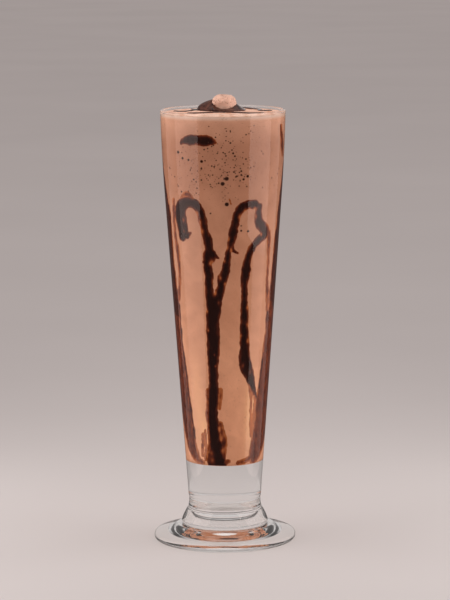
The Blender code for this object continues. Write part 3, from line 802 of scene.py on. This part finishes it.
def glass_profile():
    """Fine profile of the glass, from its floor's centre over the rim to the punt."""
    glass = settings()
    corner_height = glass.floor_height + FLOOR_CORNER
    corner_radius = inner_radius(corner_height)
    lip_round = glass.wall_at_rim / 2
    lip_centre = glass.height - lip_round
    dish = glass.floor_height - FLOOR_DISH
    dish_edge = (corner_radius - FLOOR_CORNER, glass.floor_height)
    points = bend((0.0, dish), (corner_radius * 0.6, dish), dish_edge, 10)
    points += arc(corner_radius - FLOOR_CORNER, corner_height, FLOOR_CORNER, -90, 0, 10)[1:]
    flare = spread(FLARE_START, lip_centre, SIDE_ROW)
    points += [(inner_radius(z), z) for z in flare[:-1]]
    points += arc(bowl_radius(lip_centre) - lip_round, lip_centre, lip_round, 180, 0, 18)
    points += [(bowl_radius(z), z) for z in reversed(flare[:-1])]
    waist_top = WAIST_HEIGHT + WAIST_GROOVE_HALF
    edge_centre = glass.foot_radius - FOOT_EDGE_ROUND
    edge = arc(edge_centre, FOOT_EDGE_ROUND, FOOT_EDGE_ROUND, 70, -90, 20)
    stem = [(bowl_radius(waist_top + 2 * MM), waist_top + 2 * MM), (bowl_radius(waist_top), waist_top)]
    stem += stem_profile() + [edge[0]]
    points += soften(stem, 2)
    points += edge[1:]
    points += soften([REST_RING_INNER, PUNT_EDGE, PUNT_MIDDLE, PUNT_TOP], 2)
    return points


def drink_profile():
    """Profile of the drink from the top's centre, just into the wall, to its floor."""
    glass = settings()
    side_top = level()
    rings = [inner_radius(side_top) * k / TOP_RINGS for k in range(TOP_RINGS)]
    points = [(r, side_top) for r in rings]
    corner_height = glass.floor_height + FLOOR_CORNER
    for z in spread(side_top, corner_height, SIDE_ROW):
        points.append((inner_radius(z) + WALL_BITE, z))
    corner_radius = inner_radius(corner_height) - FLOOR_CORNER
    points += arc(corner_radius, corner_height, FLOOR_CORNER + WALL_BITE, 0, -90, 8)[1:]
    points.append((corner_radius * 0.6, glass.floor_height - FLOOR_DISH * 0.8 - WALL_BITE))
    points.append((0.0, glass.floor_height - FLOOR_DISH - WALL_BITE))
    return points


def foam(x, y):
    """Fine relief of the foamy top."""
    spot = Vector((x, y, 0.0)) / TOP_FOAM_SIZE
    return TOP_FOAM * noise.noise(spot) + 0.5 * TOP_FOAM * noise.noise(spot * 2.7)


def shape_top(shape):
    """Gives the drink's flat top its dome, ripples and foam."""
    flat = level()
    wall = inner_radius(flat)
    for vert in shape.verts:
        reach = math.hypot(vert.co.x, vert.co.y) / wall
        if abs(vert.co.z - flat) < WELD and reach < 1.0:
            calm = 1.0 - reach ** 6
            vert.co.z = top_height(vert.co.x, vert.co.y) + foam(vert.co.x, vert.co.y) * calm


def warm_places(shape):
    """Marks where peanut butter shows through the wall."""
    warm = shape.verts.layers.float.new("warm")
    for vert in shape.verts:
        azimuth = math.degrees(math.atan2(vert.co.x, -vert.co.y))
        for place, height, wide, tall, amount in WARM_PLACES:
            swing = (azimuth - place) / wide
            climb = (vert.co.z / MM - height) / tall
            vert[warm] = min(1.0, vert[warm] + amount * math.exp(-swing ** 2 - climb ** 2))


def wall_radii(heights_mm):
    """Inner radius in mm at each height of the wall grid."""
    return np.array([inner_radius(z * MM) / MM for z in heights_mm])


def streak_field():
    """Grids of how far inside a streak's edge each place of the wall is, and its film."""
    azimuths = GRID_START + np.arange(GRID_COLUMNS + 1) * 360.0 / GRID_COLUMNS
    rows = round((GRID_TOP - GRID_BOTTOM) / GRID_ROW)
    heights = GRID_BOTTOM + np.arange(rows + 1) * GRID_ROW
    radii = wall_radii(heights)
    inside = np.full((rows + 1, GRID_COLUMNS + 1), FAR_OUTSIDE)
    film = np.zeros_like(inside)
    for thickness, points in list(STREAKS.values()) + list(WISPS.values()):
        length = sum(
            math.hypot(math.radians(b[0] - a[0]) * MEAN_WALL_RADIUS, b[1] - a[1])
            for a, b in zip(points, points[1:])
        )
        for azimuth, height, half in smooth_path(points, round(length / STREAK_SAMPLE)):
            half += STREAK_SPREAD
            margin = half + STREAK_MARGIN
            row = (height - GRID_BOTTOM) / GRID_ROW
            low = max(0, int(row - margin / GRID_ROW))
            high = min(rows, int(row + margin / GRID_ROW) + 1)
            if low >= high:
                continue
            swing = math.degrees(margin / radii[low])
            left = max(0, int((azimuth - swing - GRID_START) * GRID_COLUMNS / 360))
            right = min(GRID_COLUMNS, int((azimuth + swing - GRID_START) * GRID_COLUMNS / 360) + 1)
            across = np.radians(azimuths[left:right] - azimuth)[None, :] * radii[low:high, None]
            along = (heights[low:high] - height)[:, None]
            depth = half - np.hypot(across, along)
            window = (slice(low, high), slice(left, right))
            better = depth > inside[window]
            inside[window] = np.where(better, depth, inside[window])
            film[window] = np.where(better, thickness, film[window])
    return azimuths, heights, radii, inside, film


def ragged(azimuths, heights, radii, inside):
    """Waves the streaks' edges."""
    for row, column in np.argwhere(inside > WAVED_FROM):
        spot = Vector((math.radians(azimuths[column]) * radii[row], heights[row] * THIN_STRETCH, 3.0))
        for size, amount in EDGE_WAVES:
            inside[row, column] += amount * noise.noise(spot / size)
    return inside


def thinned(azimuths, heights, radii, film):
    """Thins the film at the places where light comes through."""
    for azimuth, height, radius in THIN_SPOTS:
        across = np.radians(azimuths - azimuth)[None, :] * radii[:, None]
        along = (heights - height)[:, None] * THIN_STRETCH
        film = film * (1.0 - THIN_DEPTH * np.exp(-(across ** 2 + along ** 2) / radius ** 2))
    return film


def streak_shape():
    """Thin shell of chocolate on the wall, cut from a grid along the streaks' edges."""
    azimuths, heights, radii, inside, film = streak_field()
    inside = ragged(azimuths, heights, radii, inside)
    film = thinned(azimuths, heights, radii, film)
    rise, swing = np.gradient(inside)
    rise /= GRID_ROW
    swing /= np.radians(360.0 / GRID_COLUMNS) * radii[:, None]
    shape = bmesh.new()
    columns, rows = len(azimuths), len(heights)
    bmesh.ops.create_grid(shape, x_segments=columns - 1, y_segments=rows - 1, size=0.5)
    film_layer = shape.verts.layers.float.new("film")
    index_of = {}
    for vert in shape.verts:
        column = round((vert.co.x + 0.5) * (columns - 1))
        row = round((vert.co.y + 0.5) * (rows - 1))
        index_of[vert] = (row, column)
    outside = []
    for face in shape.faces:
        if sum(inside[index_of[vert]] for vert in face.verts) <= 0.0:
            outside.append(face)
    bmesh.ops.delete(shape, geom=outside, context="FACES")
    for vert in shape.verts:
        row, column = index_of[vert]
        depth = inside[row, column]
        azimuth, height = azimuths[column], heights[row]
        if vert.is_boundary:
            push = max(-MOST_SNAP, min(MOST_SNAP, depth))
            azimuth -= math.degrees(push * swing[row, column] / radii[row])
            height -= push * rise[row, column]
            depth = 0.0
        vert[film_layer] = min(1.0, FILM_EDGE + max(0.0, depth) * FILM_RISE) * film[row, column]
        height = max(GRID_BOTTOM, height)
        vert.co = wall_point(azimuth, height * MM, inner_radius(height * MM) + STREAK_BITE)
    bmesh.ops.recalc_face_normals(shape, faces=shape.faces)
    face_out(shape)
    bmesh.ops.solidify(shape, geom=shape.faces[:], thickness=STREAK_THICKNESS)
    return shape


def face_out(shape):
    """Turns an open skin round where its faces look at the axis."""
    wrong = [
        face for face in shape.faces
        if face.normal.x * face.calc_center_median().x + face.normal.y * face.calc_center_median().y < 0
    ]
    bmesh.ops.reverse_faces(shape, faces=wrong)


def small_bubbles():
    """Places of the small bubbles: loose clusters near the top of the wall."""
    draw = random.Random(settings().seed)
    smallest, largest = SMALL_BUBBLE_RADII
    lowest, highest = BUBBLE_HEIGHTS
    spots = []
    while len(spots) < SMALL_BUBBLES:
        azimuth, height, size = draw.choice(CLUSTERS)
        if draw.random() < STRAY_SHARE:
            azimuth, height, size = draw.uniform(-180, 180), draw.uniform(*STRAY_HEIGHTS), STRAY_SPREAD
        place = (azimuth + draw.gauss(0, size), height + draw.gauss(0, size * CLUSTER_FLATNESS))
        if lowest < place[1] < highest:
            radius = smallest + (largest - smallest) * draw.random() ** 2
            spots.append((*place, radius))
    return spots


def bubble_shape():
    """Flat round bubbles pressed against the wall."""
    shape = bmesh.new()
    # How dark each bubble's painted shade is, strongest in its middle and for larger bubbles.
    painted_shade = shape.verts.layers.float.new("painted_shade")
    for azimuth, height, radius in list(BUBBLES) + small_bubbles():
        size = radius * MM
        made = bmesh.ops.create_uvsphere(
            shape, u_segments=BUBBLE_SIDES, v_segments=BUBBLE_RINGS, radius=1.0,
        )["verts"]
        strong = min(1.0, 0.4 + radius / 0.9)
        for vert in made:
            across, up, out = vert.co.x * size, vert.co.y * size * 0.95, vert.co.z
            vert[painted_shade] = strong * (1.1 - vert.co.xy.length ** 4)
            z = height * MM + up
            swing = azimuth + math.degrees(across / inner_radius(z))
            vert.co = wall_point(swing, z, inner_radius(z) + WALL_BITE + out * BUBBLE_BITE)
    bmesh.ops.recalc_face_normals(shape, faces=shape.faces)
    return shape


def line_shape():
    """Half-sunk rounded lines of sauce on the drink's top."""
    shape = bmesh.new()
    laid = shape.verts.layers.int.new("laid")
    for points in TOP_LINES.values():
        length = sum(math.dist(a[:2], b[:2]) for a, b in zip(points, points[1:])) * MM
        samples = round(length / LINE_STEP)
        route = smooth_path(points, samples)
        made = bmesh.ops.create_cone(
            shape, cap_ends=True, segments=LINE_SIDES, radius1=1.0, radius2=1.0, depth=1.0,
        )["verts"]
        tall = {e for v in made for e in v.link_edges if abs(e.verts[0].co.z - e.verts[1].co.z) > 0.5}
        bmesh.ops.subdivide_edges(shape, edges=list(tall), cuts=samples - 1)
        for vert in [vert for vert in shape.verts if not vert[laid]]:
            vert[laid] = 1
            step = round((vert.co.z + 0.5) * samples)
            x, y, half = route[step]
            ahead = Vector(route[min(step + 1, samples)][:2]) - Vector(route[max(step - 1, 0)][:2])
            across = Vector((ahead.y, -ahead.x)).normalized()
            end = min(step, samples - step) * LINE_STEP / MM
            half *= math.sqrt(max(0.02, min(1.0, end / 1.5)))
            half *= 1.0 + 0.15 * noise.noise(Vector((x, y, 5.0)) / 2.5)
            x += across.x * vert.co.x * half
            y += across.y * vert.co.x * half
            tall_share = vert.co.y * (LINE_PROUD + LINE_SINK) * min(1.0, half)
            vert.co = Vector((x * MM, y * MM, top_height(x * MM, y * MM) - LINE_SINK * 0.3 + tall_share))
    bmesh.ops.recalc_face_normals(shape, faces=shape.faces)
    return shape


def lump_shape():
    """Rounded frozen lump with dents and small pits."""
    shape = bmesh.new()
    round_steps, rings = LUMP_FACES
    bmesh.ops.create_uvsphere(shape, u_segments=round_steps, v_segments=rings, radius=1.0)
    for vert in shape.verts:
        out = vert.co.normalized()
        boxy = sum(abs(c) ** LUMP_SQUARENESS for c in out) ** (-1.0 / LUMP_SQUARENESS)
        point = Vector(r * c * boxy for r, c in zip(LUMP_RADII, out))
        relief = noise.noise(point / LUMP_RELIEF_SIZE + Vector((3.0, 1.0, 2.0)))
        pits = max(0.0, noise.noise(point / LUMP_PIT_SIZE) - 0.15)
        point += out * (relief * LUMP_RELIEF - pits * LUMP_PIT * 2)
        vert.co = point + LUMP_CENTRE
    return shape


def sauce_reach(azimuth):
    """How far the pool of sauce reaches from its centre."""
    across = math.sin(azimuth)
    sides = SAUCE_REACH["right"] if across > 0 else SAUCE_REACH["left"]
    ends = SAUCE_REACH["front"] if math.cos(azimuth) > 0 else SAUCE_REACH["back"]
    waver = 1.0 + 0.05 * math.sin(3 * azimuth + 0.6) + 0.03 * math.sin(7 * azimuth)
    return (ends + (sides - ends) * across ** 2) * waver


def sauce_shape():
    """Pool of sauce on the top, heaped against both sides of the lump."""
    shape = bmesh.new()
    round_steps, rings = SAUCE_FACES
    bmesh.ops.create_uvsphere(shape, u_segments=round_steps, v_segments=rings, radius=1.0)
    for vert in shape.verts:
        azimuth = math.atan2(vert.co.x, -vert.co.y)
        share = math.hypot(vert.co.x, vert.co.y)
        reach = sauce_reach(azimuth)
        x = SAUCE_CENTRE.x + math.sin(azimuth) * share * reach
        y = SAUCE_CENTRE.y - math.cos(azimuth) * share * reach
        fall = min(1.0, max(0.0, (1.0 - share) / (1.0 - LUMP_RADII.x / reach)))
        degrees = math.degrees(azimuth)
        left = SAUCE_LEFT_MOUND * math.exp(-((degrees + 90) / SAUCE_MOUND_WIDTH) ** 2)
        right = SAUCE_RIGHT_MOUND * math.exp(-((degrees - 90) / SAUCE_MOUND_WIDTH) ** 2)
        right += max(0.0, -math.cos(azimuth)) * SAUCE_BACK_MOUND
        heap = left * fall ** SAUCE_LEFT_FALL + right * fall ** SAUCE_RIGHT_FALL
        height = SAUCE_LIFT + SAUCE_THIN * math.sqrt(fall) + heap if vert.co.z > 0 else 0.0
        vert.co = Vector((x, y, top_height(x, y) + height))
    bmesh.ops.smooth_vert(
        shape, verts=shape.verts, factor=0.4, use_axis_x=True, use_axis_y=True, use_axis_z=True,
    )
    bmesh.ops.recalc_face_normals(shape, faces=shape.faces)
    return shape


def area_light(name, place, target, size, radiance, colour):
    """Rectangular softbox that faces a point, with its surface's own brightness."""
    lamp = bpy.data.lights.new(name, "AREA")
    lamp.shape = "RECTANGLE"
    lamp.size, lamp.size_y = size
    lamp.energy = radiance * math.pi * size[0] * size[1]
    lamp.color = colour
    light = bpy.data.objects.new(name, lamp)
    light.location = place
    light.visible_camera = False
    light.rotation_euler = (Vector(target) - Vector(place)).to_track_quat("-Z", "Y").to_euler()
    bpy.context.scene.collection.objects.link(light)
    return light


class SMOOTHIE_OT_glass(bpy.types.Operator):
    """Turn the clear footed glass"""

    bl_idname = "smoothie.glass"
    bl_label = "Glass"

    def execute(self, context):
        shape = turn(glass_profile(), GLASS_STEPS)
        finish_piece("footed_glass", shape, glass_material(), "glass")
        return {"FINISHED"}


class SMOOTHIE_OT_drink(bpy.types.Operator):
    """Fill the glass with the drink, its streaks and bubbles"""

    bl_idname = "smoothie.drink"
    bl_label = "Drink"

    def execute(self, context):
        body = turn(drink_profile(), DRINK_STEPS)
        shape_top(body)
        warm_places(body)
        finish_piece("smoothie_fill", body, drink_material(), "smoothie")
        finish_piece("wall_streaks", streak_shape(), streak_material())
        finish_piece("wall_bubbles", bubble_shape(), bubble_material())
        return {"FINISHED"}


class SMOOTHIE_OT_topping(bpy.types.Operator):
    """Set the lump, its pool of sauce and the drizzle on the drink"""

    bl_idname = "smoothie.topping"
    bl_label = "Topping"

    def execute(self, context):
        sauce = sauce_material()
        finish_piece("lump", lump_shape(), lump_material(), "frozen_lump")
        finish_piece("sauce_pool", sauce_shape(), sauce, "chocolate_sauce")
        finish_piece("top_drizzle", line_shape(), sauce)
        return {"FINISHED"}


class SMOOTHIE_OT_studio(bpy.types.Operator):
    """Set the pale floor, the soft lights and the camera"""

    bl_idname = "smoothie.studio"
    bl_label = "Studio"

    def execute(self, context):
        self.add_floor()
        self.add_lights(context)
        self.add_camera(context)
        return {"FINISHED"}

    def add_floor(self):
        """Wide pale floor."""
        shape = bmesh.new()
        bmesh.ops.create_circle(shape, cap_ends=True, segments=FLOOR_SIDES, radius=FLOOR_RADIUS)
        bmesh.ops.translate(shape, verts=shape.verts, vec=(0.0, 0.0, FLOOR_LIFT))
        mesh = bpy.data.meshes.new("floor")
        shape.to_mesh(mesh)
        shape.free()
        mesh.materials.append(stage_material())
        floor = bpy.data.objects.new("floor", mesh)
        bpy.context.scene.collection.objects.link(floor)

    def add_lights(self, context):
        """Softboxes on both sides that leave the front darker, one above and an even room."""
        for name, side, front, back, light in SOFTBOXES:
            facing = Vector((0.0, (front + back) / 2, SOFTBOX_HEIGHT / 2))
            place = facing + Vector((side * SOFTBOX_DISTANCE, 0.0, 0.0))
            lamp = area_light(name, place, facing, (back - front, SOFTBOX_HEIGHT), light, SOFTBOX_COLOUR)
            lamp.visible_glossy = False
            lamp.visible_transmission = False
        for name, side, front, back, bottom, top, light in SHINES:
            facing = Vector((0.0, (front + back) / 2, (bottom + top) / 2))
            place = facing + Vector((side * SHINE_DISTANCE, 0.0, 0.0))
            lamp = area_light(name, place, facing, (back - front, top - bottom), light, SHINE_COLOUR)
            lamp.visible_diffuse = False
            lamp.visible_transmission = False
        place, size, light = TOP_BOX
        area_light("top_box", place, (place[0], place[1], 0.0), size, light, SOFTBOX_COLOUR)
        world = bpy.data.worlds.new("room")
        world.use_nodes = True
        world.node_tree.nodes["Background"].inputs["Color"].default_value = (*ROOM_COLOUR, 1.0)
        context.scene.world = world
        context.scene.view_settings.view_transform = "Standard"

    def add_camera(self, context):
        """Camera where the photo was taken from."""
        camera = bpy.data.objects.new("camera", bpy.data.cameras.new("camera"))
        camera.data.lens = CAMERA_LENS
        camera.data.sensor_width = CAMERA_SENSOR
        turn_by = Matrix.Rotation(math.radians(CAMERA_YAW), 3, "Z")
        tilt = Matrix.Rotation(math.radians(90 + CAMERA_PITCH), 3, "X")
        roll = Matrix.Rotation(math.radians(CAMERA_ROLL), 3, "Z")
        camera.rotation_euler = (turn_by @ tilt @ roll).to_euler()
        camera.location = CAMERA_PLACE
        context.scene.collection.objects.link(camera)
        context.scene.camera = camera


class SMOOTHIE_PT_panel(bpy.types.Panel):
    """Sizes, colours and steps of the smoothie"""

    bl_idname = "SMOOTHIE_PT_panel"
    bl_label = "Smoothie"
    bl_space_type = "VIEW_3D"
    bl_region_type = "UI"
    bl_category = "Smoothie"

    def draw(self, context):
        for name in SmoothieSettings.__annotations__:
            self.layout.prop(context.scene.smoothie, name)
        for step in STEPS:
            self.layout.operator(step.bl_idname)


STEPS = (SMOOTHIE_OT_studio, SMOOTHIE_OT_glass, SMOOTHIE_OT_drink, SMOOTHIE_OT_topping)
CLASSES = (SmoothieSettings, *STEPS, SMOOTHIE_PT_panel)


def register():
    """Registers the classes and the scene's settings."""
    for cls in CLASSES:
        bpy.utils.register_class(cls)
    bpy.types.Scene.smoothie = PointerProperty(type=SmoothieSettings)


def unregister():
    """Removes the scene's settings and the classes."""
    del bpy.types.Scene.smoothie
    for cls in reversed(CLASSES):
        bpy.utils.unregister_class(cls)


def main():
    """Builds every piece in order."""
    register()
    bpy.ops.smoothie.studio()
    bpy.ops.smoothie.glass()
    bpy.ops.smoothie.drink()
    bpy.ops.smoothie.topping()


if __name__ == "__main__":
    main()
